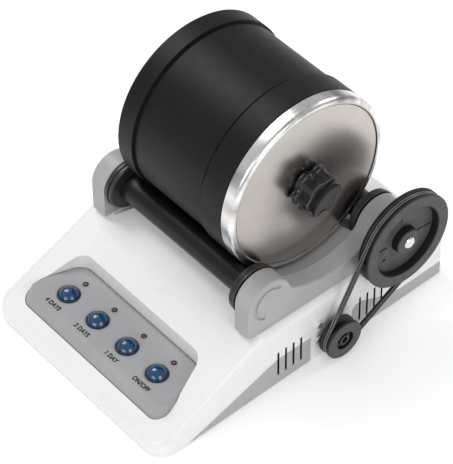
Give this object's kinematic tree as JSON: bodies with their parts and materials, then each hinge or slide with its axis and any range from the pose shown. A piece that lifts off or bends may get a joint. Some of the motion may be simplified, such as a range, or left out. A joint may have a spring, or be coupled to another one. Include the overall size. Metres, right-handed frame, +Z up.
{
  "type": "rotary rock tumbler",
  "caption": "Bench rock tumbler: a lidded rubber barrel lies on belt-driven rollers above a wedge base with a sloping button panel.",
  "frame": {"origin": "on the table, under the middle of the overall width and of the base depth", "axes": "+X along the rollers towards the belt side, +Y from the control panel to the rear wall, +Z up"},
  "size_m": [0.2172, 0.2967, 0.2234],
  "materials": {
    "white_shell": "glossy moulded ABS",
    "grey_tray": "satin moulded ABS",
    "grey_panel": "satin moulded ABS",
    "grey_bracket": "satin moulded ABS",
    "steel_screw": "zinc plated",
    "foot_rubber": "matt",
    "circuit_board": "solder mask",
    "black_plastic": "moulded",
    "red_lens": "clear red",
    "gear_case": "die cast",
    "motor_can": "plated can",
    "steel_shaft": "ground",
    "bush_plastic": "acetal",
    "belt_rubber": "smooth",
    "pulley_plastic": "moulded nylon",
    "barrel_rubber": "satin",
    "lid_steel": "brushed stainless",
    "seal_rubber": "soft",
    "knob_plastic": "glossy phenolic",
    "brass_insert": "turned",
    "roller_rubber": "satin",
    "flange_plastic": "moulded",
    "blue_button": "translucent blue"
  },
  "bodies": {
    "root": {"top_shell": "white_shell", "bottom_tray": "grey_tray", "tray_screws": "steel_screw", "rubber_feet": "foot_rubber", "control_panel": "grey_panel", "control_board": "circuit_board", "timer_chips": "black_plastic", "tact_switches": "black_plastic", "status_leds": "red_lens", "board_screws": "steel_screw", "power_inlet": "black_plastic", "inlet_nut": "steel_screw", "gearbox": "gear_case", "motor": "motor_can", "motor_screws": "steel_screw", "right_bracket": "grey_bracket", "left_bracket": "grey_bracket", "bracket_screws": "steel_screw", "bush_front_right": "bush_plastic", "bush_rear_right": "bush_plastic", "bush_front_left": "bush_plastic", "bush_rear_left": "bush_plastic", "drive_belt": "belt_rubber"},
    "barrel": {"barrel_body": "barrel_rubber", "inner_lid": "lid_steel", "lid_stud": "steel_shaft", "lid_seal": "seal_rubber", "outer_lid": "lid_steel"},
    "washer": {"knob_washer": "steel_screw"},
    "knob": {"lid_knob": "knob_plastic", "knob_insert": "brass_insert"},
    "front_roller": {"front_roller_shaft": "steel_shaft", "front_roller_sleeve": "roller_rubber", "front_flange_right": "flange_plastic", "front_flange_left": "flange_plastic"},
    "rear_roller": {"rear_roller_shaft": "steel_shaft", "rear_roller_sleeve": "roller_rubber", "rear_flange_right": "flange_plastic", "rear_flange_left": "flange_plastic", "large_pulley": "pulley_plastic", "pulley_set_screw": "steel_screw"},
    "motor_output": {"motor_shaft": "steel_shaft", "motor_pulley": "pulley_plastic"},
    "press_4_days": {"button_4_days": "blue_button"},
    "press_2_days": {"button_2_days": "blue_button"},
    "press_1_day": {"button_1_day": "blue_button"},
    "press_on_off": {"button_on_off": "blue_button"}
  },
  "joints": [
    {"name": "barrel_spin", "type": "hinge", "parent": "root", "child": "barrel", "pos_m": [-0.007, 0.0284, 0.1487], "axis": [1, 0, 0], "continuous": true},
    {"name": "front_roller_spin", "type": "hinge", "parent": "root", "child": "front_roller", "pos_m": [-0.007, -0.0318, 0.08659], "axis": [1, 0, 0], "continuous": true},
    {"name": "rear_roller_spin", "type": "hinge", "parent": "root", "child": "rear_roller", "pos_m": [-0.007, 0.0886, 0.08659], "axis": [1, 0, 0], "continuous": true},
    {"name": "motor_spin", "type": "hinge", "parent": "root", "child": "motor_output", "pos_m": [0.093, 0.0268, 0.0208], "axis": [1, 0, 0], "continuous": true},
    {"name": "knob_lift", "type": "slide", "parent": "barrel", "child": "washer", "axis": [1, 0, 0], "range_m": [0, 0.00375]},
    {"name": "knob_turn", "type": "hinge", "parent": "washer", "child": "knob", "pos_m": [0.068, 0.0284, 0.1487], "axis": [1, 0, 0], "range_deg": [-1, 1081]},
    {"name": "press_4_days", "type": "slide", "parent": "root", "child": "press_4_days", "axis": [0, 0, -1], "range_m": [0, 0.0012], "stiffness_N_per_m": 300, "springref_m": -0.0008},
    {"name": "press_2_days", "type": "slide", "parent": "root", "child": "press_2_days", "axis": [0, 0, -1], "range_m": [0, 0.0012], "stiffness_N_per_m": 300, "springref_m": -0.0008},
    {"name": "press_1_day", "type": "slide", "parent": "root", "child": "press_1_day", "axis": [0, 0, -1], "range_m": [0, 0.0012], "stiffness_N_per_m": 300, "springref_m": -0.0008},
    {"name": "press_on_off", "type": "slide", "parent": "root", "child": "press_on_off", "axis": [0, 0, -1], "range_m": [0, 0.0012], "stiffness_N_per_m": 300, "springref_m": -0.0008}
  ],
  "couplings": [
    {"joint": "front_roller_spin", "follows": "barrel_spin", "ratio": -6.4957},
    {"joint": "rear_roller_spin", "follows": "barrel_spin", "ratio": -6.4957},
    {"joint": "motor_spin", "follows": "barrel_spin", "ratio": -17.599},
    {"joint": "knob_turn", "follows": "knob_lift", "rad_per_m": 5026.5}
  ]
}
